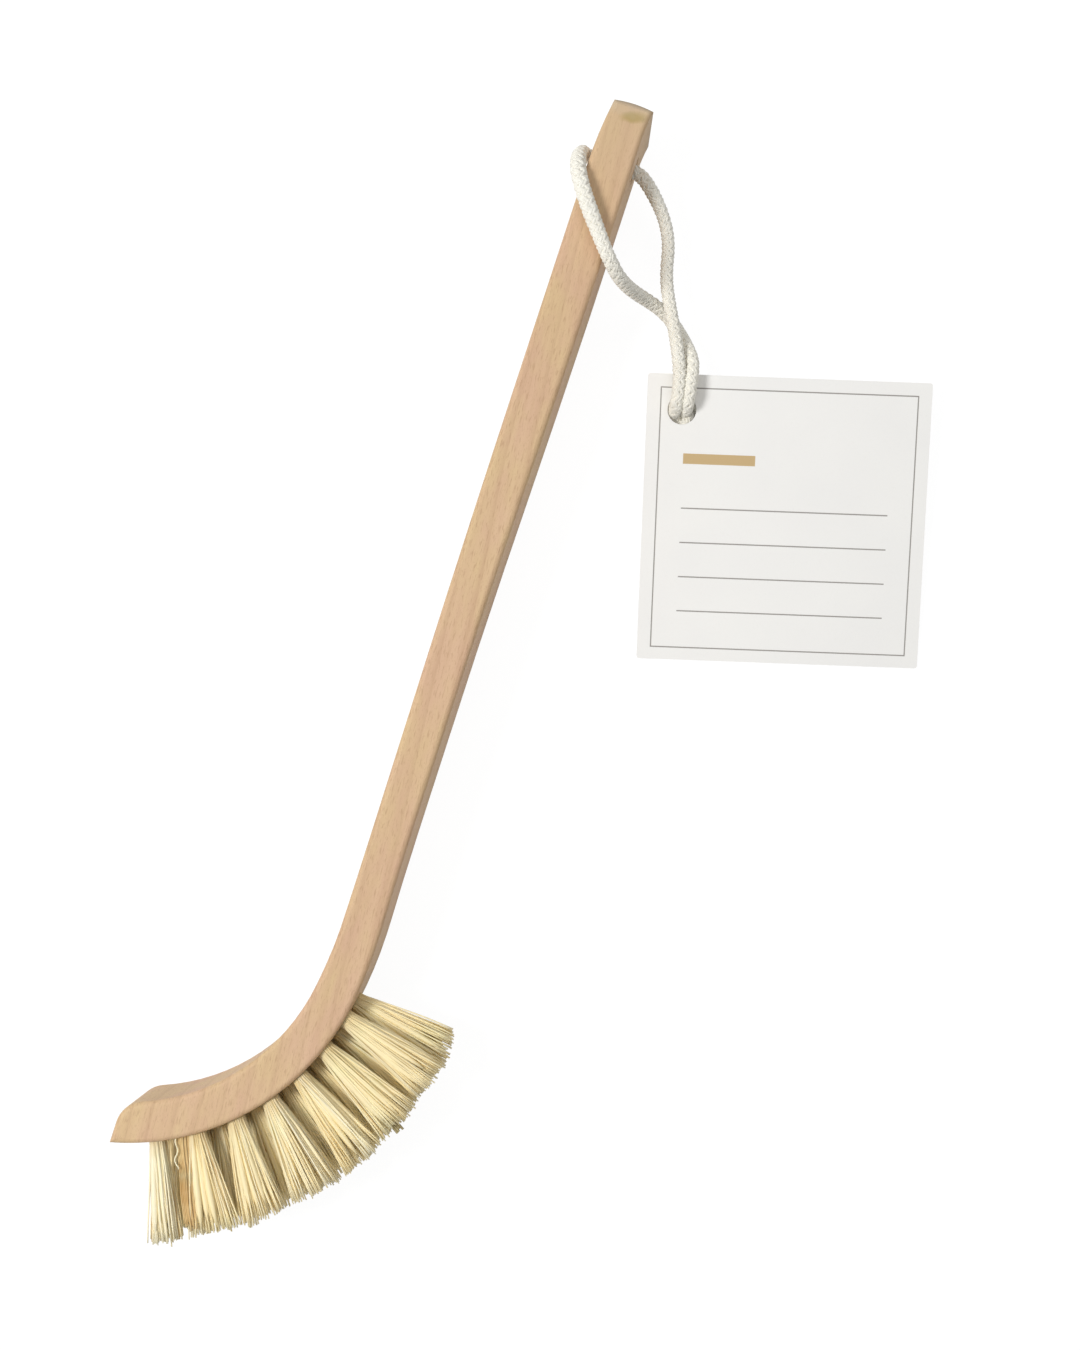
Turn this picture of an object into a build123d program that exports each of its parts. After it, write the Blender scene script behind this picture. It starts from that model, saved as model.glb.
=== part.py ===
"""Dish brush: a beech block with four rows of plant-fibre tufts, a hanging cord and a card tag.

All lengths are in millimetres and all angles in degrees. The brush lies on the flat side of its block.
+Z is up. +X runs from the hanging hole along the handle to the head. +Y is the side that the bristles
are on. The origin lies on the resting side, under the middle of the hanging hole.
"""
import os
from math import asin, cos, degrees, pi, radians, sin, sqrt, tan

from build123d import *

os.makedirs("parts", exist_ok=True)

# Wooden block, all of one width: a handle, shaped a little at its end, that bends into a curved head
block_width = 24.0
handle_thickness = 10.0
hole_to_end = 10.3
end_taper_start = 6.0
end_taper_radius = 97.0
hole_to_flare = 3.4
end_flare_radius = 38.0
handle_reach = 193.8
bristle_face_rise = 3.7
bristle_face_radius = 56.3
head_thickness = 9.3
back_arc_start = 82.0
bristle_arc_start = 78.0
nose_drop = 39.5
end_crown = 0.4
end_corner_radius = 1.3
nose_back_radius = 6.5
nose_tip_radius = 1.5
edge_ease = 1.2

# Points of the handle's two long sides, as shares of its reach and of its thickness
back_side_shares = [(0.31, -0.52), (0.593, -0.52), (0.774, -0.497), (0.939, -0.482), (0.985, -0.503)]
bristle_side_shares = [(0.31, 0.463), (0.542, 0.397), (0.774, 0.387), (0.918, 0.405), (0.993, 0.405)]

# Hanging hole, drilled through the handle from its back to its bristle side
hang_hole_diameter = 5.5
hang_hole_flare = 0.5

# Tufts: drilled holes along the head's outer face, each filled by a folded bundle of fibres
tuft_rows = 4
tufts_in_rows = [6, 7, 7, 7]
row_pitch = 5.6
first_tuft_angle = 24.0
last_tuft_angle = 77.6
tuft_angle_shares = [0.0, 0.172, 0.35, 0.518, 0.679, 0.84, 1.0]
shifted_end_share = 1.07
lean_at_nose = 5.0
lean_at_handle = 0.5
tuft_hole_diameter = 4.2
tuft_hole_depth = 6.5
tuft_clearance = 0.05
plug_rise = 0.3
bristle_length = 23.2
trim_unevenness = 0.6
spread_along = 4.9
spread_across = 2.2
strand_width = 0.6
strand_tip_width = 0.7
strand_root_depth = 0.8
inner_strands = 5
outer_strands = 10
inner_ring_share = 0.5

# Flat wire anchors that hold the folds of the tufts in the wood
anchor_bite = 0.35
anchor_height = 1.7
anchor_thickness = 0.4
anchor_fold = 0.6
anchor_clearance = 0.02

# Hanging cord, its knot and the tag on it
cord_diameter = 3.0
cord_straight_in_hole = 6.4
bend_share = 0.45
knot_width = 9.2
knot_height = 5.2
knot_lift = 0.1
knot_edge_share = 0.45
tag_size = 66.8
tag_thickness = 0.5
tag_corner_radius = 0.6
tag_hole_diameter = 6.8
tag_hole_inset = 8.25
tag_hole_x = 47.9
tag_hole_y = 32.5
tag_gap_over_knot = 0.65
tag_edge_lift = 0.15
tag_turn = 15.8

cut_overrun = 1.0

# The cord's two free stretches, from the mouths of the hanging hole to the knot, chosen by hand
over_side_route = [
    (0.0, -3.2, 12.0),
    (0.0, -5.9, 12.0),
    (0.3, -7.8, 13.9),
    (1.0, -7.9, 16.8),
    (4.2, -7.6, 21.6),
    (8.8, -6.2, 25.4),
    (14.2, -2.9, 26.6),
    (19.0, 1.1, 26.2),
    (22.6, 4.2, 26.4),
    (25.2, 6.7, 25.4),
    (27.0, 9.3, 21.8),
    (27.2, 11.9, 16.4),
    (26.7, 14.5, 11.2),
    (26.3, 17.3, 7.1),
    (26.5, 20.3, 4.4),
    (27.7, 23.2, 3.2),
    (30.0, 26.0, 3.9),
    (33.3, 28.9, 6.6),
    (37.2, 31.6, 9.4),
    (41.3, 32.7, 10.4),
    (47.4, 34.0, 10.2),
    (47.4, 34.0, 3.4),
]
beside_route = [
    (0.0, 3.2, 12.0),
    (0.0, 6.2, 12.0),
    (2.6, 9.9, 11.4),
    (6.2, 13.8, 9.8),
    (9.8, 16.5, 8.0),
    (13.5, 18.0, 7.2),
    (17.5, 18.8, 7.6),
    (22.1, 20.2, 8.8),
    (27.4, 22.9, 8.9),
    (33.8, 26.0, 9.7),
    (41.4, 29.2, 10.3),
    (48.4, 31.0, 10.2),
    (48.4, 31.0, 3.4),
]

# Lines and places that follow from the sizes above
mid_width = block_width / 2
head_centre = Vector(handle_reach, bristle_face_rise - bristle_face_radius)
head_back_radius = bristle_face_radius - head_thickness
taper_turn = degrees(asin((end_taper_start + hole_to_end) / end_taper_radius))
flare_turn = degrees(asin((hole_to_end - hole_to_flare) / end_flare_radius))
plug_radius = tuft_hole_diameter / 2 - tuft_clearance
trim_radius = bristle_face_radius + bristle_length
tag_hole_height = knot_lift + knot_height + tag_gap_over_knot + tag_thickness / 2
tag_edge_height = tag_edge_lift + tag_thickness / 2
tag_tilt = degrees(asin((tag_hole_height - tag_edge_height) / (tag_size - tag_hole_inset)))


def head_arc(radius, start):
    """One long face of the head, from the neck to the flat cut across the nose."""
    nose_angle = degrees(asin((-nose_drop - head_centre.Y) / radius))
    return CenterArc((head_centre.X, head_centre.Y), radius, start, nose_angle - start)


def handle_side(end_line, side_shares, arc):
    """One long face of the handle, from the line at its end to the head."""
    points = [(handle_reach * x_share, handle_thickness * y_share) for x_share, y_share in side_shares]
    return Spline(end_line @ 0, *points, arc @ 0, tangents=[(1, 0), arc % 0])


def row_shares(row):
    """Places of one row's tufts along the head; every second row stands in the gaps of the others."""
    if row % 2 == 1:
        return tuft_angle_shares
    gaps = [(before + after) / 2 for before, after in zip(tuft_angle_shares, tuft_angle_shares[1:])]
    return (gaps + [shifted_end_share])[: tufts_in_rows[row]]


def tuft_plane(row, share):
    """Plane at one tuft's mouth: its normal runs along the tuft and its x axis along the head."""
    angle = first_tuft_angle + (last_tuft_angle - first_tuft_angle) * share
    heading = radians(angle - lean_at_nose - (lean_at_handle - lean_at_nose) * share)
    mouth = Vector(
        head_centre.X + bristle_face_radius * cos(radians(angle)),
        head_centre.Y + bristle_face_radius * sin(radians(angle)),
        mid_width + row_pitch * (row - (tuft_rows - 1) / 2),
    )
    return Plane(origin=mouth, x_dir=(-sin(heading), cos(heading), 0), z_dir=(cos(heading), sin(heading), 0))


tuft_planes = [[tuft_plane(row, share) for share in row_shares(row)] for row in range(tuft_rows)]
all_tuft_planes = [plane for row_planes in tuft_planes for plane in row_planes]
anchor_length = tuft_hole_diameter + 2 * anchor_bite
anchor_depth = tuft_hole_depth - anchor_fold - anchor_height / 2

# Block with its hanging hole, tuft holes and the notches that the anchors bite into the wood
with BuildPart() as handle_block:
    with BuildSketch() as block_outline:
        with BuildLine():
            back_arc = head_arc(head_back_radius, back_arc_start)
            bristle_arc = head_arc(bristle_face_radius, bristle_arc_start)
            back_taper = CenterArc(
                (end_taper_start, end_taper_radius - handle_thickness / 2), end_taper_radius, -90, -taper_turn
            )
            bristle_flare = CenterArc(
                (-hole_to_flare, end_flare_radius + handle_thickness / 2), end_flare_radius, -90, -flare_turn
            )
            bristle_line = Line((end_taper_start, handle_thickness / 2), bristle_flare @ 0)
            handle_side(back_taper, back_side_shares, back_arc)
            handle_side(bristle_line, bristle_side_shares, bristle_arc)
            Line(back_arc @ 1, bristle_arc @ 1)
            SagittaArc(back_taper @ 1, bristle_flare @ 1, end_crown)
        make_face()
        nose_corners = block_outline.vertices().sort_by(Axis.Y)[:2].sort_by(Axis.X)
        end_corners = block_outline.vertices().sort_by(Axis.X)[:2]
        fillet(nose_corners[0], nose_back_radius)
        fillet(nose_corners[1], nose_tip_radius)
        fillet(end_corners, end_corner_radius)
    extrude(amount=block_width)
    fillet(handle_block.faces().filter_by(Axis.Z).edges(), edge_ease)
    with BuildSketch(Plane.XZ):
        with Locations((0, mid_width)):
            Circle(hang_hole_diameter / 2)
    extrude(amount=handle_thickness, both=True, mode=Mode.SUBTRACT)
    chamfer(handle_block.edges(Select.LAST).filter_by(GeomType.LINE, reverse=True), hang_hole_flare)
    with Locations(*[plane.offset(cut_overrun) for plane in all_tuft_planes]):
        Cylinder(
            tuft_hole_diameter / 2,
            tuft_hole_depth + cut_overrun,
            align=(Align.CENTER, Align.CENTER, Align.MAX),
            mode=Mode.SUBTRACT,
        )
    with Locations(*[plane.offset(-anchor_depth) for plane in all_tuft_planes]):
        Box(
            anchor_length + 2 * anchor_clearance,
            anchor_thickness + 2 * anchor_clearance,
            anchor_height + 2 * anchor_clearance,
            mode=Mode.SUBTRACT,
        )
handle_block.part.label = "handle_block"
export_step(handle_block.part, "parts/handle_block.step")


def strand_places():
    """Places of a tuft's strands in its bundle, as shares of the outer ring's radius."""
    places = [(0, 0)]
    for count, ring_share in ((inner_strands, inner_ring_share), (outer_strands, 1)):
        for number in range(count):
            turn = 2 * pi * number / count
            places.append((ring_share * cos(turn), ring_share * sin(turn)))
    return places


def strand_reach(plane, sideways, uneven):
    """Distance along a tuft at which a strand ends, so that all tips lie on one trimmed curve."""
    mouth_x = plane.origin.X - head_centre.X + sideways * plane.x_dir.X
    mouth_y = plane.origin.Y - head_centre.Y + sideways * plane.x_dir.Y
    along = mouth_x * plane.z_dir.X + mouth_y * plane.z_dir.Y
    return sqrt(along**2 - mouth_x**2 - mouth_y**2 + (trim_radius + uneven) ** 2) - along


def strand(plane, place, number):
    """One straight, slightly tapered strand from inside the tuft's plug to its trimmed tip."""
    root_ring = plug_radius - strand_width
    sideways = spread_along * place[0]
    uneven = trim_unevenness * sin(number * number + plane.origin.X / row_pitch)
    with BuildSketch(plane.offset(plug_rise - strand_root_depth)) as root:
        with Locations((root_ring * place[0], root_ring * place[1])):
            Rectangle(strand_width, strand_width)
    with BuildSketch(plane.offset(strand_reach(plane, sideways, uneven))) as tip:
        with Locations((sideways, spread_across * place[1])):
            Rectangle(strand_tip_width, strand_tip_width)
    return loft(sections=[root.sketch, tip.sketch], ruled=True, mode=Mode.PRIVATE)


# Tufts: a plug that fills the drilled hole, slotted for its anchor, and the strands that stand on it
for row, row_planes in enumerate(tuft_planes):
    for place, mouth_plane in enumerate(row_planes):
        strands = [strand(mouth_plane, spot, number) for number, spot in enumerate(strand_places())]
        plug_length = tuft_hole_depth - tuft_clearance + plug_rise
        with BuildPart() as tuft:
            with Locations(mouth_plane.offset(plug_rise)):
                Cylinder(plug_radius, plug_length, align=(Align.CENTER, Align.CENTER, Align.MAX))
            with Locations(mouth_plane.offset(-anchor_depth)):
                Box(
                    anchor_length,
                    anchor_thickness + 2 * anchor_clearance,
                    anchor_height + 2 * anchor_clearance,
                    mode=Mode.SUBTRACT,
                )
            add(strands)
        tuft.part.label = f"tuft_row{row + 1}_no{place + 1}"
        export_step(tuft.part, f"parts/{tuft.part.label}.step")

# Anchors: one flat piece of wire across each tuft's fold, kept together by rows
for row, row_planes in enumerate(tuft_planes):
    with BuildPart() as anchors:
        with Locations(*[plane.offset(-anchor_depth) for plane in row_planes]):
            Box(anchor_length, anchor_thickness, anchor_height)
    anchors.part.label = f"tuft_anchors_row{row + 1}"
    export_step(anchors.part, f"parts/{anchors.part.label}.step")


def corner_radii(route):
    """Radius of each bend of a route, as large as its two runs allow."""
    radii = []
    for before, corner, after in zip(route, route[1:], route[2:]):
        run_in = Vector(corner) - Vector(before)
        run_out = Vector(after) - Vector(corner)
        half_turn = radians(run_in.get_angle(run_out)) / 2
        radii.append(bend_share * min(run_in.length, run_out.length) / tan(half_turn))
    return radii


def cord_stretch(route, name):
    """Tube along one free stretch of the cord: straight runs joined by smooth bends."""
    radii = corner_radii(route)
    with BuildPart() as tube:
        with BuildLine() as path:
            FilletPolyline(*route, radius=radii)
        with BuildSketch(Plane(origin=route[0], z_dir=Vector(route[1]) - Vector(route[0]))):
            Circle(cord_diameter / 2)
        sweep()
    length = sum(edge.length for edge in path.line.edges())
    section = pi * cord_diameter**2 / 4
    print(name, "length", round(length, 1), "volume share", round(tube.part.volume / (section * length), 4))
    print(name, "bend radii", [round(radius, 1) for radius in radii])
    tube.part.label = name
    export_step(tube.part, f"parts/{name}.step")


# Cord: the straight stretch inside the hanging hole, then the two free stretches to the knot
with BuildPart() as cord_in_hole:
    with BuildSketch(Plane.XZ):
        with Locations((0, mid_width)):
            Circle(cord_diameter / 2)
    extrude(amount=cord_straight_in_hole / 2, both=True)
cord_in_hole.part.label = "cord_in_hole"
export_step(cord_in_hole.part, "parts/cord_in_hole.step")

cord_stretch(over_side_route, "cord_over_side")
cord_stretch(beside_route, "cord_beside_handle")

# Knot: both ends of the cord tied together under the tag, too wide for the tag's hole
with BuildPart() as cord_knot:
    with Locations((tag_hole_x, tag_hole_y, knot_lift)):
        Cylinder(knot_width / 2, knot_height, align=(Align.CENTER, Align.CENTER, Align.MIN))
    fillet(cord_knot.edges().filter_by(GeomType.CIRCLE), knot_edge_share * knot_height)
cord_knot.part.label = "cord_knot"
export_step(cord_knot.part, "parts/cord_knot.step")

# Tag: a square card with a punched hole near one corner, leaning on the knot and on its far edge
tag_plane = Plane(
    origin=(tag_hole_x, tag_hole_y, tag_hole_height),
    x_dir=(
        cos(radians(tag_tilt)) * cos(radians(tag_turn)),
        cos(radians(tag_tilt)) * sin(radians(tag_turn)),
        -sin(radians(tag_tilt)),
    ),
    z_dir=(
        sin(radians(tag_tilt)) * cos(radians(tag_turn)),
        sin(radians(tag_tilt)) * sin(radians(tag_turn)),
        cos(radians(tag_tilt)),
    ),
)
with BuildPart() as hang_tag:
    with BuildSketch(tag_plane.offset(-tag_thickness / 2)):
        with Locations((-tag_hole_inset, -tag_hole_inset)):
            RectangleRounded(tag_size, tag_size, tag_corner_radius, align=(Align.MIN, Align.MIN))
        Circle(tag_hole_diameter / 2, mode=Mode.SUBTRACT)
    extrude(amount=tag_thickness)
hang_tag.part.label = "hang_tag"
export_step(hang_tag.part, "parts/hang_tag.step")
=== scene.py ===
"""Looks for a dish brush: a beech block, plant-fibre tufts, a braided hanging cord and a card tag.

Lengths are in metres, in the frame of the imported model. +X runs from the hanging hole to the head,
+Y is the side that the bristles are on, and +Z is up, towards the camera.
"""
import math
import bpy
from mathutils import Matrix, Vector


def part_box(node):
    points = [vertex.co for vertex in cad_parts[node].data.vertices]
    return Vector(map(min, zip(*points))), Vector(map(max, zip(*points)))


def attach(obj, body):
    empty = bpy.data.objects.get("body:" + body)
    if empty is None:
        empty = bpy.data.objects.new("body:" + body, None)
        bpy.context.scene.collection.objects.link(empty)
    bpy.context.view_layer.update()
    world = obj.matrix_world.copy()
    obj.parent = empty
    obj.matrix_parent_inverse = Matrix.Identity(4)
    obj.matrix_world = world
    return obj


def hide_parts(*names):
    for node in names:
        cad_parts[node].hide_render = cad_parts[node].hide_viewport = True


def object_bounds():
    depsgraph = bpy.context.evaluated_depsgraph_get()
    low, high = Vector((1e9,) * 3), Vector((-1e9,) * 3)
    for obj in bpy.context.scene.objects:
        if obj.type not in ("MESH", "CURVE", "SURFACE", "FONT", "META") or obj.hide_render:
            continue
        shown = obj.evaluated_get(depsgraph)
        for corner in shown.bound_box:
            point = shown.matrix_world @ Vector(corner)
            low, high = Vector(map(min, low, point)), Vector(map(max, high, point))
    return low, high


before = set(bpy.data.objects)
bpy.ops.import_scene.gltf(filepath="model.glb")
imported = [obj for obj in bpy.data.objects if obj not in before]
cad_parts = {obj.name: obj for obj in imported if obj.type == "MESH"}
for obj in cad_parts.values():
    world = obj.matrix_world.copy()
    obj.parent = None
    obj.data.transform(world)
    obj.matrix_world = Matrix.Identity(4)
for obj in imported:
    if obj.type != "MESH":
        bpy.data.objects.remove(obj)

from types import SimpleNamespace

import bpy
import numpy as np
from mathutils import Matrix, Vector

cad_low, cad_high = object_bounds()
random_seed = 20
random = np.random.default_rng(random_seed)
upward = np.array((0.0, 0.0, 1.0))

# Camera, above the middle of the brush and turned so that the handle's end is at the top
camera_place = (0.1405, 0.0304, 0.424)
image_right = Vector((-0.308, 0.951, 0)).normalized()
sensor_length = 36.0
lens_length = 47.41
clip_start = 0.01
clip_end = 20
image_width = 1080
image_height = 1350
axis_pixel_x = 552
axis_pixel_y = 782

# Floor, surround and lamps: each lamp's name, offsets right, up and above its target, size and power
floor_size = 6.0
floor_gap = 0.0001
floor_place = (0.1, 0)
floor_glow = 0.94
surround_strength = 0.385
lamp_target = Vector((0.1, 0.02, 0.0))
lamps = (
    ("key", -0.52, -0.02, 0.75, 0.24, 5.1),
    ("fill", 0.15, 0.50, 0.85, 0.50, 1.4),
)

# Places of the head and its tufts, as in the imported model
head_centre = np.array((0.1938, -0.0526))
bristle_face_radius = 0.0563
mid_width = 0.012
tuft_rows = 4
near_row = tuft_rows - 1
tufts_in_rows = [6, 7, 7, 7]
row_pitch = 0.0056
first_tuft_angle = math.radians(24.0)
last_tuft_angle = math.radians(77.6)
tuft_angle_shares = [0.0, 0.172, 0.35, 0.518, 0.679, 0.84, 1.0]
shifted_end_share = 1.07
shifted_end_lean = math.radians(5.5)
lean_at_nose = math.radians(5.0)
lean_at_handle = math.radians(0.5)
uneven_leans = [math.radians(lean) for lean in (2.0, 5.5, 8, 7, 3.5, 5, 5)]
tuft_hole_radius = 0.0021
bristle_length = 0.0232
trim_radius = bristle_face_radius + bristle_length
trim_change_to_nose = -0.0008
trim_change_to_handle = 0.0004

# Size and spread of a tuft's fine fibres
fibres_in_tuft = 150
fibre_radius = 0.00019
fibre_radius_shares = (0.75, 1.2)
fibre_rings = 9
fibre_sides = 5
fibre_taper = 0.15
root_depth = 0.0022
rim_gap_in_radii = 1.4
root_ring_radius = tuft_hole_radius - rim_gap_in_radii * fibre_radius
spread_along = 0.0056
first_spread_along = 0.0037
hidden_spread_along = 0.0061
spread_across = 0.0026
fan_ease = 0.9
wave_height = 0.0002
wave_rates = (3, 6)
rise_over_block = 0.002
lowest_fibre = 2 * fibre_radius
highest_fibre = 2 * mid_width + rise_over_block

# Clumps of fine fibres, and how unevenly they and their fibres end
clumps_in_tuft = 7
clump_place_share = 0.75
clump_share = 0.35
tip_scatter = 0.0006
own_scatter_share = 0.6
trim_unevenness = 0.0004

# Tones of the fine fibres, as places on the fibre material's ramp
fine_tone = 0.6
clump_tone_scatter = 0.1
own_tone_scatter = 0.12
brown_chance = 0.03
brown_tones = (0.02, 0.12)
# Painted light: the near row's first tuft is toned paler for the strong light on it
first_tuft_painted_light = 0.38

# Thicker fibres that fill a tuft's middle: thin at the root, round at the end
filling_fibres = 15
filling_radius = 0.00078
filling_share = 0.76
filling_tone = 0.55
filling_length_shares = (0.88, 0.96)
filling_root_share = 0.7
filling_swell_share = 0.5
filling_end_share = 1.02
filling_end_rate = 3

# Fibres that stand out: start, end, radius, curl, three tones from root to end, count, ragged ends
stray_places = (
    ((0.2429, -0.0257, 0.0222), (0.2498, -0.0233, 0.0226), 0.00016, 0.0005, (1.0, 1.0, 1.0), 1, 0.0),
    ((0.241, -0.0252, 0.0214), (0.2612, -0.0164, 0.0221), 0.0002, 0.0001, (0.05, 0.011, 0.05), 9, 0.0012),
    ((0.2256, 0.0202, 0.0195), (0.2266, 0.0219, 0.0195), 0.0003, 0.0, (0.0, 0.0, 0.0), 4, 0.0004),
)
stray_tone_places = (0.3, 0.45, 0.95)
stray_rings = 14
stray_spacing_in_radii = 1.7
curl_turn = 11
curl_start_share = 0.4
stray_lift_share = 0.12

# Braided cord: yarns that wind both ways round a core
cord_diameter = 0.003
cord_radius = cord_diameter / 2
strands_each_way = 4
yarns_in_strand = 2
yarn_radius = 0.00041
yarn_spacing = 0.00062
braid_pitch = 0.0085
braid_weave = 0.00014
braid_reach = 0.0017
core_radius = 0.00127
yarn_sides = 6
braid_step = 0.0003
route_steps = 24
near_upright = 0.1
in_hole_half = 0.0032

over_side_route = [
    (0.0, -0.0032, 0.012),
    (0.0, -0.0059, 0.012),
    (0.0003, -0.0074, 0.0139),
    (0.001, -0.0074, 0.0168),
    (0.0042, -0.0075, 0.022),
    (0.0088, -0.0061, 0.026),
    (0.0142, -0.0026, 0.0268),
    (0.019, 0.0013, 0.0264),
    (0.0226, 0.0042, 0.0264),
    (0.0252, 0.0067, 0.0254),
    (0.027, 0.0093, 0.0218),
    (0.0272, 0.0119, 0.0164),
    (0.0267, 0.0145, 0.0112),
    (0.0263, 0.0173, 0.0071),
    (0.0265, 0.0203, 0.0044),
    (0.0277, 0.0232, 0.0032),
    (0.03, 0.026, 0.0039),
    (0.0333, 0.0289, 0.0066),
    (0.0372, 0.0316, 0.0094),
    (0.0415, 0.0324, 0.0104),
    (0.0478, 0.0334, 0.0101),
    (0.0478, 0.0334, 0.0034),
]
beside_route = [
    (0.0, 0.0032, 0.012),
    (0.0, 0.0062, 0.012),
    (0.0026, 0.0099, 0.0114),
    (0.0062, 0.0138, 0.0098),
    (0.0098, 0.0165, 0.008),
    (0.0135, 0.018, 0.0072),
    (0.0175, 0.0188, 0.0076),
    (0.0221, 0.0202, 0.0088),
    (0.0274, 0.0229, 0.0089),
    (0.0338, 0.0263, 0.0099),
    (0.0414, 0.0297, 0.0107),
    (0.0487, 0.0311, 0.0105),
    (0.0487, 0.0311, 0.0034),
]

# Thickness of the braid along each free stretch, as places from the hole's mouth and shares
over_side_widths = ((0.0, 0.008, 0.015, 0.03, 0.038, 0.1), (1.0, 1.0, 1.13, 1.13, 1.0, 0.98))
beside_widths = ((0.0, 0.008, 0.014, 0.05, 0.065), (1.0, 1.0, 0.92, 0.95, 1.0))

# Knot under the tag: its line goes round twice with three lobes, and it has two tails
knot_lobes = 3
knot_rounds = 2
knot_steps = 200
knot_ring_radius = 0.00235
knot_ring_swing = 0.00095
knot_rise = 0.0013
knot_squeeze = 0.83
knot_widths = ((0, 1), (knot_squeeze, knot_squeeze))
knot_tail_length = 0.0085
knot_tail_headings = (math.radians(48), math.radians(-10))
knot_tail_sag = 0.0006
knot_tail_gap = 0.0001

# Tag and its printed border, bar and rules, from the corner nearest its hole
tag_size = 0.0668
tag_hole_place = (0.0479, 0.0325)
tag_hole_inset = 0.00825
tag_turn = math.radians(15.8)
border_inset = 0.0032
line_thickness = 0.0003
rule_places = (0.031, 0.039, 0.047, 0.055)
rule_inset = 0.009
bar_place = 0.0195
bar_length = 0.017
bar_thickness = 0.0024
ink_strength = 0.8
bar_strength = 0.85
upper_face_from = 0.5

# Grain of the wood, and growth rings per metre across it
grain_turn = math.radians(-5.0)
rings_per_metre = 205.0
ring_waver = 1.2
ring_strength = 0.3
fleck_shift = (0.3, 0, 0)

# Tones at the handle's end, darker towards it, with a painted highlight band and a painted shade line:
# where along it each fades in and where it is full
darker_end_reach = (0.02, -0.011)
painted_highlight_reach = (-0.0045, -0.008)
painted_highlight_waver = 0.004
painted_shade_reach = (-0.0092, -0.0101)

# Oval stain at that end: its half sizes, turn, the shift that then takes its middle to zero, and its edge
stain_half_length = 0.0013
stain_half_width = 0.003
stain_turn = math.radians(-18)
stain_shift = (0.0065, -0.0041, 0)
stain_raggedness = 1.6
stain_edge = (1.1, 2.3)

# Height of each surface's bump
wood_relief = 0.00004
fibre_relief = 0.00003
yarn_relief = 0.00006
card_relief = 0.00002
wire_relief = 0.00001

# Sockets of Blender's mix node when it mixes colours
mix_factor, mix_first, mix_second, mixed_colour = 0, 6, 7, 2


def add_node(tree, kind, inputs=None, **settings):
    """A shader node with its settings, and inputs given as values or as sockets to link."""
    made = tree.nodes.new(kind)
    for key, value in settings.items():
        setattr(made, key, value)
    for key, value in (inputs or {}).items():
        if isinstance(value, bpy.types.NodeSocket):
            tree.links.new(value, made.inputs[key])
        else:
            made.inputs[key].default_value = value
    return made


def new_material(name, roughness, **shader_inputs):
    """A material, its node tree and its Principled shader. An input's name has underscores for spaces."""
    material = bpy.data.materials.new(name)
    material.use_nodes = True
    tree = material.node_tree
    shader = tree.nodes["Principled BSDF"]
    shader.inputs["Roughness"].default_value = roughness
    for key, value in shader_inputs.items():
        shader.inputs[key.replace("_", " ")].default_value = value
    return material, tree, shader


def object_place(tree, scale=(1, 1, 1), turn=0.0, shift=(0, 0, 0)):
    """Object coordinates, turned about Z, then shifted, then scaled."""
    place = add_node(tree, "ShaderNodeTexCoord").outputs["Object"]
    inputs = {"Vector": place, "Location": shift, "Rotation": (0, 0, turn)}
    turned = add_node(tree, "ShaderNodeMapping", inputs).outputs[0]
    return add_node(tree, "ShaderNodeMapping", {"Vector": turned, "Scale": scale}).outputs[0]


def noise_value(tree, scale, detail=2.0, rough=0.5, turn=0.0, shift=(0, 0, 0)):
    """One noise value from 0 to 1, with its fineness per metre along X, Y and Z."""
    vector = object_place(tree, scale, turn, shift)
    inputs = {"Vector": vector, "Scale": 1.0, "Detail": detail, "Roughness": rough}
    return add_node(tree, "ShaderNodeTexNoise", inputs).outputs[0]


def separated(tree, vector):
    """The X, Y and Z values of a vector."""
    return add_node(tree, "ShaderNodeSeparateXYZ", {0: vector}).outputs


def facing(tree, axis):
    """How far the face looks along an axis, from -1 to 1."""
    normal = add_node(tree, "ShaderNodeNewGeometry").outputs["True Normal"]
    return separated(tree, normal)[axis]


def remap(tree, value, low, high, to_low=0.0, to_high=1.0):
    """The value moved from one range to another, held to its ends."""
    inputs = {"Value": value, "From Min": low, "From Max": high, "To Min": to_low, "To Max": to_high}
    return add_node(tree, "ShaderNodeMapRange", inputs).outputs[0]


def math_value(tree, operation, *values):
    """One arithmetic step on one, two or three values."""
    return add_node(tree, "ShaderNodeMath", dict(enumerate(values)), operation=operation).outputs[0]


def band(tree, value, middle, half_width):
    """1 where the value lies within half_width of the middle, else 0."""
    return math_value(tree, "COMPARE", value, middle, half_width)


def mix_colour(tree, share, first, second):
    """Two colours mixed by a share."""
    inputs = {mix_factor: share, mix_first: first, mix_second: second}
    return add_node(tree, "ShaderNodeMix", inputs, data_type="RGBA").outputs[mixed_colour]


def layer(tree, colour, tint, value, low, high, at_low=0.0, at_high=1.0):
    """A colour under a tint, as strong as at_low where the value is low and as at_high where it is high."""
    return mix_colour(tree, remap(tree, value, low, high, at_low, at_high), colour, tint)


def finish_surface(tree, shader, colour, height, relief, strength=0.5):
    """Gives a shader its colour, and a bump from a height value, whose full height is the relief."""
    tree.links.new(colour, shader.inputs["Base Color"])
    inputs = {"Height": height, "Distance": relief, "Strength": strength}
    bump = add_node(tree, "ShaderNodeBump", inputs)
    tree.links.new(bump.outputs[0], shader.inputs["Normal"])


def growth_rings(tree):
    """Thin rings that waver along the grain, 1 at a ring's dark line and 0 between the lines."""
    bent = noise_value(tree, (12, 30, 30), turn=grain_turn)
    across = separated(tree, object_place(tree, turn=grain_turn))[1]
    waver = math_value(tree, "MULTIPLY", bent, ring_waver)
    share = math_value(tree, "FRACT", math_value(tree, "MULTIPLY_ADD", across, rings_per_metre, waver))
    rising = remap(tree, share, 0.72, 0.95)
    falling = remap(tree, share, 0.95, 1.0, 1.0, 0.0)
    return math_value(tree, "MULTIPLY", rising, falling)


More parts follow.
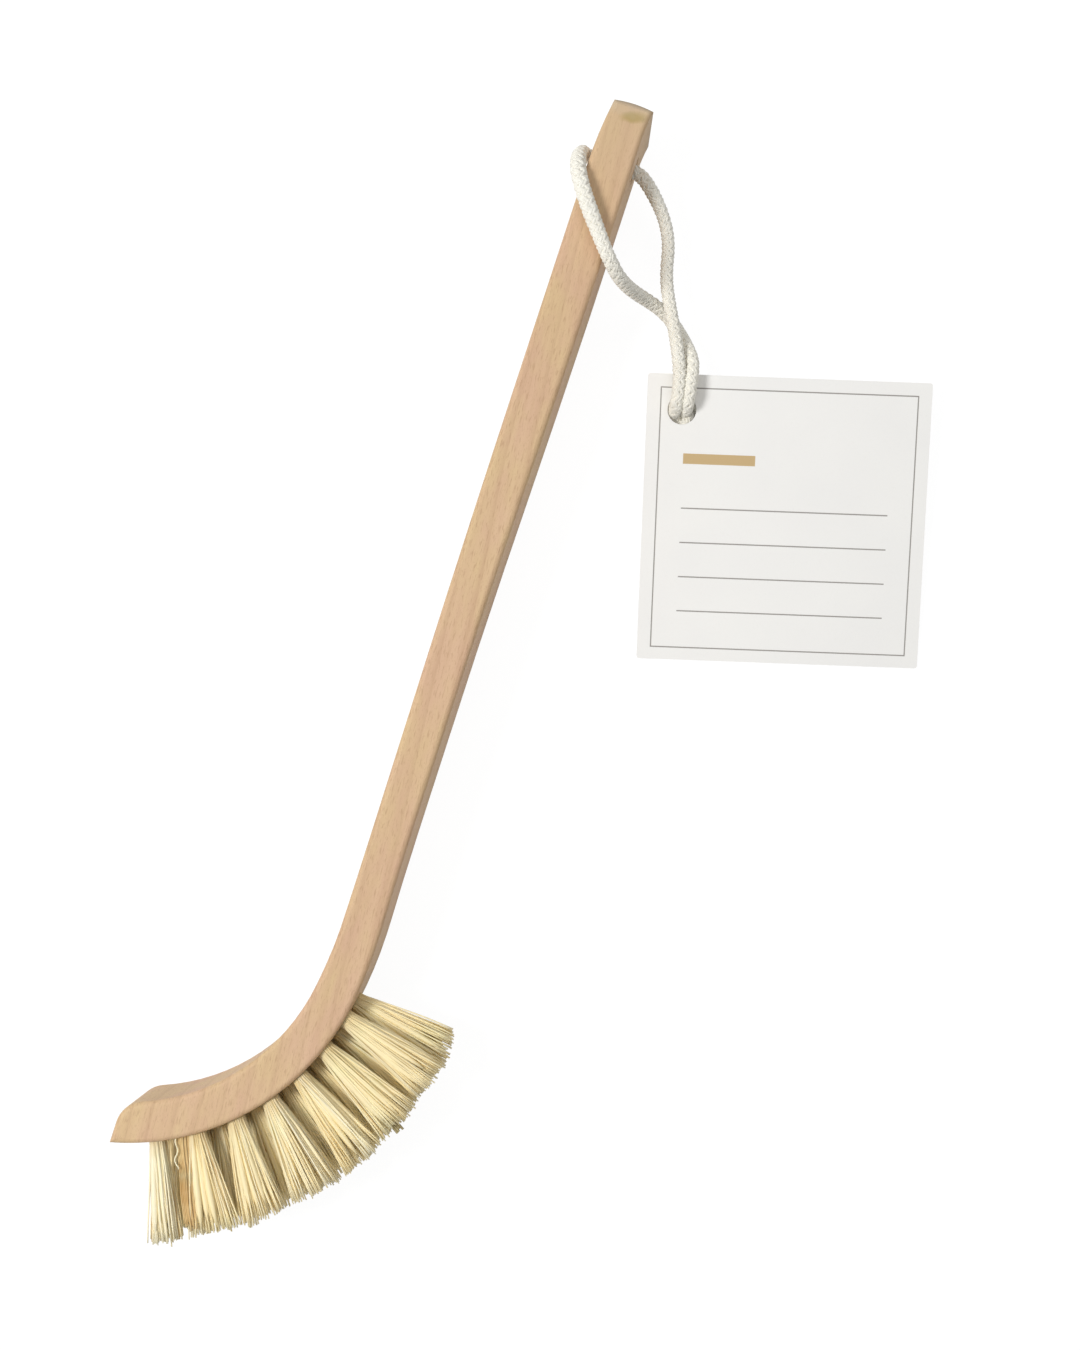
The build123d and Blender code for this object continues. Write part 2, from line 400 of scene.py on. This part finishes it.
def handle_end_tones(tree, colour):
    """The wood's colour, darker towards the handle's end, with an oval stain, a pale band of painted
    highlight and a dark line of painted shade at the end.
    """
    darker_end_colour = (0.60, 0.44, 0.26, 1)
    stained = (0.45, 0.325, 0.135, 1)
    painted_highlight = (0.56, 0.48, 0.36, 1)
    painted_edge_shade = (0.33, 0.27, 0.20, 1)
    along = separated(tree, object_place(tree))[0]
    colour = layer(tree, colour, darker_end_colour, along, *darker_end_reach, 0, 0.55)

    stain_scale = (1 / stain_half_length, 1 / stain_half_width, 0)
    stain_place = object_place(tree, stain_scale, stain_turn, stain_shift)
    reach = add_node(tree, "ShaderNodeVectorMath", {0: stain_place}, operation="LENGTH").outputs["Value"]
    off_stain = math_value(tree, "MULTIPLY", reach, reach)
    blotch = noise_value(tree, (420, 420, 420))
    ragged = math_value(tree, "ADD", off_stain, math_value(tree, "MULTIPLY", blotch, stain_raggedness))
    colour = layer(tree, colour, stained, ragged, *stain_edge, 1.0, 0.0)

    wavering = math_value(tree, "ADD", along, math_value(tree, "MULTIPLY", blotch, painted_highlight_waver))
    # Painted highlight: a pale band along the rounded edge near the handle's end
    colour = layer(tree, colour, painted_highlight, wavering, *painted_highlight_reach, 0, 0.4)
    # Painted shade: a dark line along the very end of the handle
    return layer(tree, colour, painted_edge_shade, along, *painted_shade_reach, 0, 0.55)


def beech_wood():
    """Sanded beech: grain along the handle, faint rings, short dark flecks, a darker end, painted shade and
    a painted highlight.
    """
    material, tree, shader = new_material("beech_wood", roughness=0.6, Specular_IOR_Level=0.3)
    pale_wood = (0.69, 0.47, 0.30, 1)
    rosy_wood = (0.62, 0.395, 0.258, 1)
    yellow_wood = (0.67, 0.49, 0.265, 1)
    streak_brown = (0.55, 0.35, 0.21, 1)
    ring_brown = (0.47, 0.29, 0.17, 1)
    fleck_brown = (0.42, 0.25, 0.14, 1)
    pore_brown = (0.45, 0.28, 0.16, 1)
    bristle_side_painted_shade = (0.56, 0.35, 0.16, 1)

    broad = noise_value(tree, (14, 190, 120), detail=3, turn=grain_turn)
    patches = noise_value(tree, (45, 110, 80), detail=3, rough=0.6, turn=grain_turn)
    streaks = noise_value(tree, (60, 1300, 900), detail=3, rough=0.6, turn=grain_turn)
    flecks = noise_value(tree, (430, 3000, 1500), detail=1.5, turn=grain_turn, shift=fleck_shift)
    pores = noise_value(tree, (1500, 5200, 3000), detail=1, turn=grain_turn)
    rings = math_value(tree, "MULTIPLY", growth_rings(tree), ring_strength)

    colour = layer(tree, pale_wood, rosy_wood, broad, 0.32, 0.68)
    colour = layer(tree, colour, yellow_wood, patches, 0.38, 0.62, 0, 0.8)
    colour = layer(tree, colour, streak_brown, streaks, 0.42, 0.8, 0, 0.45)
    colour = mix_colour(tree, rings, colour, ring_brown)
    colour = layer(tree, colour, fleck_brown, flecks, 0.57, 0.68, 0, 0.45)
    colour = layer(tree, colour, pore_brown, pores, 0.60, 0.72, 0, 0.4)
    colour = handle_end_tones(tree, colour)
    # Painted shade: faces turned to the bristle side, away from the key lamp, are darkened
    colour = layer(tree, colour, bristle_side_painted_shade, facing(tree, 1), 0.3, 0.9, 0, 0.3)
    finish_surface(tree, shader, colour, math_value(tree, "ADD", streaks, flecks), wood_relief)
    return material


def plant_fibre():
    """Pale straw fibres, each of its own tone, with painted shade darkening them towards the root."""
    material, tree, shader = new_material("plant_fibre", roughness=0.5, Specular_IOR_Level=0.35)
    tones = (
        (0.0, (0.24, 0.17, 0.07, 1)),
        (0.02, (0.54, 0.31, 0.10, 1)),
        (0.1, (0.90, 0.72, 0.37, 1)),
        (0.5, (0.97, 0.82, 0.48, 1)),
        (1.0, (0.96, 0.89, 0.66, 1)),
    )
    mottled = (0.95, 0.81, 0.46, 1)
    greenish = (0.82, 0.84, 0.50, 1)
    root_painted_shade = (0.60, 0.42, 0.18, 1)

    tone = add_node(tree, "ShaderNodeAttribute", attribute_name="fibre_tone").outputs["Fac"]
    along = add_node(tree, "ShaderNodeAttribute", attribute_name="fibre_along").outputs["Fac"]
    ramp = add_node(tree, "ShaderNodeValToRGB", {"Fac": tone})
    stops = ramp.color_ramp.elements
    stops[0].color = tones[0][1]
    stops[1].color = tones[-1][1]
    for place, tint in tones[1:-1]:
        stops.new(place).color = tint

    mottle = noise_value(tree, (500, 500, 900))
    colour = layer(tree, ramp.outputs[0], mottled, mottle, 0.35, 0.7, 0, 0.25)
    tinge = noise_value(tree, (90, 90, 90))
    colour = layer(tree, colour, greenish, tinge, 0.52, 0.7, 0, 0.2)
    # Painted shade: fibres darken towards the root, where the tufts shade each other
    colour = layer(tree, colour, root_painted_shade, along, 0.0, 0.22, 0.5, 0.0)
    finish_surface(tree, shader, colour, mottle, fibre_relief)
    return material


def cotton_cord():
    """Undyed cotton yarn with fine hairs, and painted shade in the dips between them."""
    material, tree, shader = new_material(
        "cotton_cord", roughness=0.9, Sheen_Weight=0.25, Sheen_Roughness=0.5
    )
    clean = (0.91, 0.89, 0.81, 1)
    dusty = (0.88, 0.85, 0.76, 1)
    painted_shade_between_hairs = (0.76, 0.71, 0.58, 1)
    fuzz = noise_value(tree, (4200, 4200, 4200), detail=3, rough=0.65)
    dust = noise_value(tree, (220, 220, 220))
    colour = layer(tree, clean, dusty, dust, 0.3, 0.7)
    # Painted shade: darker where the hair bump is lowest, in the dips between hairs
    colour = layer(tree, colour, painted_shade_between_hairs, fuzz, 0.35, 0.6, 0.12, 0)
    finish_surface(tree, shader, colour, fuzz, yarn_relief, strength=0.3)
    return material


def tag_print(tree):
    """Where the tag's lines and its bar are: a border with rules across it, and a short bar above them."""
    hole = Matrix.Rotation(-tag_turn, 3, "Z") @ Vector((*tag_hole_place, 0))
    corner = (tag_hole_inset - hole.x, tag_hole_inset - hole.y, 0)
    down, across, _ = separated(tree, object_place(tree, turn=-tag_turn, shift=corner))
    middle = tag_size / 2
    off_down = math_value(tree, "ABSOLUTE", math_value(tree, "SUBTRACT", down, middle))
    off_across = math_value(tree, "ABSOLUTE", math_value(tree, "SUBTRACT", across, middle))
    furthest = math_value(tree, "MAXIMUM", off_down, off_across)
    lines = band(tree, furthest, middle - border_inset, line_thickness / 2)
    ruled = band(tree, across, middle, middle - rule_inset)
    for place in rule_places:
        line = math_value(tree, "MULTIPLY", band(tree, down, place, line_thickness / 2), ruled)
        lines = math_value(tree, "MAXIMUM", lines, line)
    bar_across = band(tree, across, rule_inset + bar_length / 2, bar_length / 2)
    bar = math_value(tree, "MULTIPLY", band(tree, down, bar_place, bar_thickness / 2), bar_across)
    return lines, bar


def tag_card():
    """Pale card with a printed border, a short ochre bar and plain ruled lines on its upper face."""
    material, tree, shader = new_material("tag_card", roughness=0.85, Specular_IOR_Level=0.2)
    card = (0.92, 0.91, 0.88, 1)
    clouded = (0.90, 0.89, 0.865, 1)
    pulp_grey = (0.74, 0.72, 0.68, 1)
    ink = (0.20, 0.18, 0.16, 1)
    ochre = (0.55, 0.36, 0.12, 1)
    pulp = noise_value(tree, (1800, 1800, 1800), detail=3, rough=0.6)
    cloud = noise_value(tree, (60, 60, 60))
    colour = layer(tree, card, clouded, cloud, 0.3, 0.7)
    colour = layer(tree, colour, pulp_grey, pulp, 0.55, 0.75, 0, 0.1)

    lines, bar = tag_print(tree)
    upper = math_value(tree, "GREATER_THAN", facing(tree, 2), upper_face_from)
    for printed, strength, tint in ((lines, ink_strength, ink), (bar, bar_strength, ochre)):
        on_face = math_value(tree, "MULTIPLY", printed, upper)
        colour = mix_colour(tree, math_value(tree, "MULTIPLY", on_face, strength), colour, tint)
    finish_surface(tree, shader, colour, pulp, card_relief)
    return material


def anchor_wire():
    """Flat galvanised wire, dull and slightly mottled."""
    material, tree, shader = new_material("anchor_wire", roughness=0.38, Metallic=1.0)
    mottle = noise_value(tree, (1500, 1500, 1500), detail=3)
    colour = mix_colour(tree, mottle, (0.62, 0.60, 0.56, 1), (0.48, 0.46, 0.43, 1))
    finish_surface(tree, shader, colour, mottle, wire_relief)
    return material


def shows_background(tree):
    """1 for rays from the camera, reflections and glass, which show the background white, else 0."""
    path = add_node(tree, "ShaderNodeLightPath").outputs
    seen = math_value(tree, "MAXIMUM", path["Is Camera Ray"], path["Is Glossy Ray"])
    return math_value(tree, "MAXIMUM", seen, path["Is Transmission Ray"])


def floor_material():
    """Pale floor: white to the camera and in reflections, with the object's shadow kept."""
    material = bpy.data.materials.new("pale_floor")
    material.use_nodes = True
    tree = material.node_tree
    tree.nodes.clear()
    seen = shows_background(tree)
    plain = add_node(tree, "ShaderNodeBsdfDiffuse", {"Color": (0.8, 0.8, 0.8, 1)}).outputs[0]
    shaded = add_node(tree, "ShaderNodeBsdfDiffuse", {"Color": (0.12, 0.12, 0.12, 1)}).outputs[0]
    glow = add_node(tree, "ShaderNodeEmission", {"Color": (1, 1, 1, 1), "Strength": floor_glow}).outputs[0]
    pale = add_node(tree, "ShaderNodeAddShader", {0: shaded, 1: glow}).outputs[0]
    mixed = add_node(tree, "ShaderNodeMixShader", {0: seen, 1: plain, 2: pale}).outputs[0]
    add_node(tree, "ShaderNodeOutputMaterial", {"Surface": mixed})
    return material


def headings(points):
    """The unit direction of a line at each of its points."""
    ahead = np.gradient(points, axis=0)
    return ahead / np.linalg.norm(ahead, axis=1)[:, None]


class TubeMesh:
    """Collects round tubes, each along its own points, into one mesh."""

    def __init__(self, sides):
        self.sides = sides
        self.vertices = []
        self.faces = []
        self.values = {}
        self.count = 0

    def add(self, points, guides, radii, **values):
        """One tube. One guide, or one per point, sets where its rings start; values become attributes."""
        rings = len(points)
        guides = np.broadcast_to(guides, points.shape)
        ahead = headings(points)
        side = guides - (guides * ahead).sum(1)[:, None] * ahead
        side /= np.linalg.norm(side, axis=1)[:, None]
        other = np.cross(ahead, side)
        turns = (np.arange(self.sides) * 2 * math.pi / self.sides)[None, :, None]
        spokes = np.cos(turns) * side[:, None] + np.sin(turns) * other[:, None]
        self.vertices.append((points[:, None] + radii[:, None, None] * spokes).reshape(-1, 3))
        ring, step = np.meshgrid(np.arange(rings - 1), np.arange(self.sides), indexing="ij")
        near = self.count + ring * self.sides + step
        near_next = self.count + ring * self.sides + (step + 1) % self.sides
        quads = np.stack((near, near_next, near_next + self.sides, near + self.sides), -1)
        self.faces += quads.reshape(-1, 4).tolist()
        last = self.count + (rings - 1) * self.sides
        self.faces.append(list(range(self.count + self.sides - 1, self.count - 1, -1)))
        self.faces.append(list(range(last, last + self.sides)))
        for key, value in values.items():
            spread = np.repeat(np.broadcast_to(value, rings), self.sides)
            self.values.setdefault(key, []).append(spread)
        self.count += rings * self.sides

    def make(self, name, material):
        """The finished object, smooth-shaded."""
        mesh = bpy.data.meshes.new(name)
        mesh.from_pydata(np.concatenate(self.vertices), [], self.faces)
        mesh.shade_smooth()
        mesh.materials.append(material)
        for key, value in self.values.items():
            mesh.attributes.new(key, "FLOAT", "POINT").data.foreach_set("value", np.concatenate(value))
        made = bpy.data.objects.new(name, mesh)
        bpy.context.scene.collection.objects.link(made)
        return made


def level_with_near_row(row):
    """Whether a row's tufts stand level with the near row's, and not in the gaps between them."""
    return (near_row - row) % 2 == 0


def row_shares(row):
    """Places of one row's tufts along the head, as shares of the near row's length."""
    if level_with_near_row(row):
        return tuft_angle_shares
    gaps = [(before + after) / 2 for before, after in zip(tuft_angle_shares, tuft_angle_shares[1:])]
    return (gaps + [shifted_end_share])[: tufts_in_rows[row]]


def along_head(at_nose, at_handle, share):
    """A value that changes evenly along the head."""
    return at_nose + (at_handle - at_nose) * share


def tuft_stand(row, place, share):
    """Where one tuft leaves the wood, its directions, how it fans out and is trimmed, and the painted light
    that makes it paler.
    """
    level = level_with_near_row(row)
    angle = along_head(first_tuft_angle, last_tuft_angle, share)
    lean = along_head(lean_at_nose, lean_at_handle, share)
    if level:
        lean = uneven_leans[place]
    if share == shifted_end_share:
        lean = shifted_end_lean
    heading = angle - lean
    mouth = (
        head_centre[0] + bristle_face_radius * math.cos(angle),
        head_centre[1] + bristle_face_radius * math.sin(angle),
        mid_width + row_pitch * (row - (tuft_rows - 1) / 2),
    )
    spread = spread_along if row == near_row else hidden_spread_along
    if level and place == 0:
        spread = first_spread_along
    return SimpleNamespace(
        mouth=np.array(mouth),
        outward=np.array((math.cos(heading), math.sin(heading), 0)),
        sideways=np.array((-math.sin(heading), math.cos(heading), 0)),
        spread=spread,
        trim_change=along_head(trim_change_to_nose, trim_change_to_handle, share),
        painted_light_rise=first_tuft_painted_light if row == near_row and place == 0 else 0.0,
    )


def reach_to_trim(place, outward, uneven):
    """Distance from a place along a direction to the trimmed surface of the bristles."""
    start = place[:2] - head_centre
    along = start @ outward[:2]
    return math.sqrt(along**2 - start @ start + (trim_radius + uneven) ** 2) - along


def spiral_spot(number, count):
    """The place of one of several fibres in a disc of radius 1, which a spiral fills evenly."""
    turn = number * math.pi * (3 - math.sqrt(5))
    return math.sqrt((number + 0.5) / count) * np.array((math.cos(turn), math.sin(turn)))


def fibre_line(stand, spot, ring_radius, swing, length):
    """Points of one fibre from its hole to its tip, and how far along its free part each of them is."""
    across = spot[0] * stand.sideways + spot[1] * upward
    root = stand.mouth - root_depth * stand.outward + ring_radius * across
    tip = stand.mouth + swing + length * stand.outward
    reach = np.linspace(0, 1, fibre_rings) * (length + root_depth)
    free = np.clip((reach - root_depth) / length, 0, 1)
    points = root + np.outer(reach, stand.outward)
    return points + np.outer(free**fan_ease, tip - points[-1]), free


def add_fine_fibres(tuft, stand):
    """Fine fibres in loose clumps, each with its own place, length, waves, thickness and tone."""
    turns = random.uniform(0, 2 * math.pi) + np.arange(clumps_in_tuft) * 2 * math.pi / clumps_in_tuft
    clumps = [clump_place_share * np.array((math.cos(turn), math.sin(turn))) for turn in turns]
    clumps.append(np.zeros(2))
    clump_drifts = random.normal(0, tip_scatter, (len(clumps), 2))
    clump_trims = random.normal(0, trim_unevenness, len(clumps))
    clump_tones = random.normal(0, clump_tone_scatter, len(clumps))
    for number in range(fibres_in_tuft):
        spot = spiral_spot(number, fibres_in_tuft)
        nearest = int(np.argmin([np.hypot(*(spot - clump)) for clump in clumps]))
        tip_spot = spot + clump_share * (clumps[nearest] - spot)
        drift = clump_drifts[nearest] + random.normal(0, tip_scatter * own_scatter_share, 2)
        swing = (stand.spread * tip_spot[0] + drift[0]) * stand.sideways
        swing = swing + (spread_across * tip_spot[1] + drift[1]) * upward
        uneven = stand.trim_change + clump_trims[nearest] + trim_unevenness * random.normal()
        length = reach_to_trim(stand.mouth + swing, stand.outward, uneven)
        points, free = fibre_line(stand, spot, root_ring_radius, swing, length)

        wave_turn = random.uniform(0, 2 * math.pi, 2)
        waves = np.sin(free[:, None] * random.uniform(*wave_rates, 2) + wave_turn) - np.sin(wave_turn)
        points += wave_height * free[:, None] * (waves[:, :1] * stand.sideways + waves[:, 1:] * upward)
        points[:, 2] = np.clip(points[:, 2], lowest_fibre, highest_fibre)
        radii = fibre_radius * random.uniform(*fibre_radius_shares) * (1 - fibre_taper * free**2)
        tone = fine_tone + stand.painted_light_rise + clump_tones[nearest] + random.normal(0, own_tone_scatter)
        if random.random() < brown_chance:
            tone = random.uniform(*brown_tones)
        tuft.add(points, upward, radii, fibre_tone=min(max(tone, 0), 1), fibre_along=free)


def add_filling_fibres(tuft, stand):
    """Thicker fibres that fill the tuft's middle and end a little short of the trim."""
    for number in range(filling_fibres):
        spot = spiral_spot(number, filling_fibres)
        swing = filling_share * (stand.spread * spot[0] * stand.sideways + spread_across * spot[1] * upward)
        length = reach_to_trim(stand.mouth + swing, stand.outward, stand.trim_change)
        length *= random.uniform(*filling_length_shares)
        points, free = fibre_line(stand, spot, root_ring_radius * filling_share, swing, length)
        end_round = np.sqrt(np.clip(filling_end_rate * (filling_end_share - free), 0, 1))
        radii = filling_radius * (filling_root_share + filling_swell_share * free) * end_round
        tone = filling_tone + stand.painted_light_rise
        tuft.add(points, upward, radii, fibre_tone=tone, fibre_along=free)


def tuft_fibres(row, place, share, material):
    """One tuft: packed in its hole, then fanning out in loose clumps to a trimmed end."""
    stand = tuft_stand(row, place, share)
    tuft = TubeMesh(fibre_sides)
    add_fine_fibres(tuft, stand)
    add_filling_fibres(tuft, stand)
    made = tuft.make(f"fibres_row{row + 1}_no{place + 1}", material)
    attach(made, "brush")
    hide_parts(f"tuft_row{row + 1}_no{place + 1}")


def stray_fibres(material):
    """A pale curled fibre, a flat brown bundle and a small dark clump, which stand out from the tufts."""
    steps = np.linspace(0, 1, stray_rings)[:, None]
    strays = TubeMesh(fibre_sides)
    for start, end, radius, swing, tones, count, ragged in stray_places:
        start = np.array(start)
        end = np.array(end)
        tone = np.interp(steps[:, 0], stray_tone_places, tones)
        ahead = (end - start) / np.linalg.norm(end - start)
        aside = np.cross(ahead, upward)
        curl = swing * np.sin(steps * curl_turn) * (curl_start_share + (1 - curl_start_share) * steps)
        for number in range(count):
            shift = (number - (count - 1) / 2) * stray_spacing_in_radii * radius
            first, last, lift = random.uniform(-ragged, ragged, 3)
            line = start + first * ahead + steps * (end - start + (last - first) * ahead)
            points = line + (shift + curl) * aside + stray_lift_share * lift * upward
            radii = np.full(len(points), radius)
            strays.add(points, upward, radii, fibre_tone=tone, fibre_along=1.0)
    made = strays.make("stray_fibres", material)
    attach(made, "brush")


def route_points(name, route):
    """Points of the smooth line that a route's points control."""
    curve = bpy.data.curves.new(name + "_line", "CURVE")
    curve.dimensions = "3D"
    curve.resolution_u = route_steps
    spline = curve.splines.new("NURBS")
    spline.points.add(len(route) - 1)
    for point, place in zip(spline.points, route):
        point.co = (*place, 1)
    spline.order_u = 3
    spline.use_endpoint_u = True
    holder = bpy.data.objects.new(name + "_line", curve)
    mesh = bpy.data.meshes.new_from_object(holder)
    points = np.array([vertex.co for vertex in mesh.vertices], float)
    bpy.data.objects.remove(holder)
    return points


def evenly(points, step):
    """The same line, with points at an even spacing close to step."""
    runs = np.linalg.norm(np.diff(points, axis=0), axis=1)
    reach = np.concatenate(([0], np.cumsum(runs)))
    places = np.linspace(0, reach[-1], max(2, round(reach[-1] / step) + 1))
    return np.stack([np.interp(places, reach, points[:, axis]) for axis in range(3)], 1)


def carried_sides(points):
    """Two directions square to the line and to each other at each point, carried along without twist."""
    ahead = headings(points)
    side = np.cross(ahead[0], upward)
    if np.linalg.norm(side) < near_upright:
        side = np.cross(ahead[0], (1.0, 0.0, 0.0))
    sides = []
    for direction in ahead:
        side = side - (side @ direction) * direction
        side = side / np.linalg.norm(side)
        sides.append(side)
    sides = np.array(sides)
    return sides, np.cross(ahead, sides)


def braid(name, points, material, widths=((0, 1), (1, 1))):
    """A braided tube along a line: yarns winding both ways, each over and under the other way's."""
    points = evenly(points, braid_step)
    first, second = carried_sides(points)
    reach = np.arange(len(points)) * braid_step
    scale = np.interp(reach, *widths)
    tube = TubeMesh(yarn_sides)
    tube.add(points, first, core_radius * scale)
    winding = 2 * math.pi / braid_pitch
    mid_radius = braid_reach - yarn_radius - braid_weave
    for way in (1, -1):
        weave = way * np.cos(strands_each_way * winding * reach)
        out = (mid_radius + braid_weave * weave) * scale
        for strand in range(strands_each_way):
            for yarn in range(yarns_in_strand):
                shift = (yarn - (yarns_in_strand - 1) / 2) * yarn_spacing / mid_radius
                turn = way * winding * reach + 2 * math.pi * strand / strands_each_way + shift
                spoke = np.cos(turn)[:, None] * first + np.sin(turn)[:, None] * second
                tube.add(points + out[:, None] * spoke, spoke, yarn_radius * scale)
    return tube.make(name, material)


def knot_centre():
    """The middle of the knot's place under the tag."""
    low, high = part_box("cord_knot")
    return np.array((low + high) / 2)


def knot_points():
    """Closed line of a tied overhand knot, flattened to the height under the tag."""
    x, y, z = knot_centre()
    turn = np.linspace(0, 2 * math.pi, knot_steps)
    out = knot_ring_radius + knot_ring_swing * np.cos(knot_lobes * turn)
    rise = knot_rise * np.sin(knot_lobes * turn)
    around = knot_rounds * turn
    return np.stack((x + out * np.cos(around), y + out * np.sin(around), z + rise), 1)


def tied_knot(material):
    """The knot itself and its two short tails, which lie under the tag."""
    ring = braid("knot_turns", knot_points(), material, knot_widths)
    parts = [ring]
    for number, heading in enumerate(knot_tail_headings):
        direction = np.array((math.cos(heading), math.sin(heading), 0))
        start = knot_centre() + knot_ring_radius * direction
        middle = start + knot_tail_length / 2 * direction - knot_tail_sag * upward
        end = start + knot_tail_length * direction
        end[2] = cord_radius + knot_tail_gap
        tail = route_points("knot_tail", [start, middle, end])
        parts.append(braid(f"knot_tail_{number + 1}", tail, material, knot_widths))
    for part in parts:
        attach(part, "cord_loop")
    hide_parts("cord_knot")
    return parts


def hanging_cord(material):
    """The cord's stretch in the hole, its two free stretches and the knot that joins their ends."""
    knot = tied_knot(material)
    hole_line = np.array(((0, -in_hole_half, mid_width), (0, in_hole_half, mid_width)))
    inside = braid("cord_through_hole", hole_line, material)
    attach(inside, "cord_loop")
    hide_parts("cord_in_hole")
    stretches = (
        ("cord_over_side", over_side_route, over_side_widths),
        ("cord_beside_handle", beside_route, beside_widths),
    )
    for node_name, route, widths in stretches:
        line = route_points(node_name, route)
        stretch = braid(node_name + "_braid", line, material, widths)
        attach(stretch, "cord_loop")
        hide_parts(node_name)


def dress_node(name, material):
    """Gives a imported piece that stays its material."""
    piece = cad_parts[name]
    piece.data.materials.clear()
    piece.data.materials.append(material)


def add_floor():
    """A large pale floor just under the brush."""
    bpy.ops.mesh.primitive_plane_add(size=floor_size, location=(*floor_place, cad_low.z - floor_gap))
    floor = bpy.context.object
    floor.name = "floor"
    floor.data.materials.append(floor_material())


def add_lamps():
    """A soft key lamp at the left of the image, and a wider, weaker fill lamp at its upper right."""
    image_up = Vector(upward).cross(image_right)
    for name, right, up, rise, size, power in lamps:
        light = bpy.data.lights.new(name, "AREA")
        light.size = size
        light.energy = power
        lamp = bpy.data.objects.new(name, light)
        lamp.location = lamp_target + right * image_right + up * image_up + Vector((0, 0, rise))
        lamp.rotation_mode = "QUATERNION"
        lamp.rotation_quaternion = (lamp_target - lamp.location).to_track_quat("-Z", "Y")
        bpy.context.scene.collection.objects.link(lamp)


def add_surround():
    """An even surround that lights the brush softly and looks white."""
    world = bpy.data.worlds.new("surround")
    bpy.context.scene.world = world
    world.use_nodes = True
    tree = world.node_tree
    tree.nodes.clear()
    seen = shows_background(tree)
    white = (1, 1, 1, 1)
    lit = add_node(tree, "ShaderNodeBackground", {"Color": white, "Strength": surround_strength}).outputs[0]
    shown = add_node(tree, "ShaderNodeBackground", {"Color": white, "Strength": 1.0}).outputs[0]
    mixed = add_node(tree, "ShaderNodeMixShader", {0: seen, 1: lit, 2: shown}).outputs[0]
    add_node(tree, "ShaderNodeOutputWorld", {"Surface": mixed})


def add_camera():
    """The camera of the photograph, looking straight down."""
    data = bpy.data.cameras.new("camera")
    data.sensor_width = sensor_length
    data.lens = lens_length
    data.shift_x = (image_width / 2 - axis_pixel_x) / image_height
    data.shift_y = (axis_pixel_y - image_height / 2) / image_height
    data.clip_start = clip_start
    data.clip_end = clip_end
    made = bpy.data.objects.new("camera", data)
    made.location = camera_place
    made.rotation_euler = (0, 0, math.atan2(image_right.y, image_right.x))
    bpy.context.scene.collection.objects.link(made)
    bpy.context.scene.camera = made


add_camera()
add_floor()
add_lamps()
add_surround()
bpy.context.scene.view_settings.view_transform = "Standard"
hanging_cord(cotton_cord())
fibre_material = plant_fibre()
for row in range(tuft_rows):
    for place, share in enumerate(row_shares(row)):
        tuft_fibres(row, place, share, fibre_material)
stray_fibres(fibre_material)
dress_node("handle_block", beech_wood())
dress_node("hang_tag", tag_card())
wire = anchor_wire()
for row in range(tuft_rows):
    dress_node(f"tuft_anchors_row{row + 1}", wire)
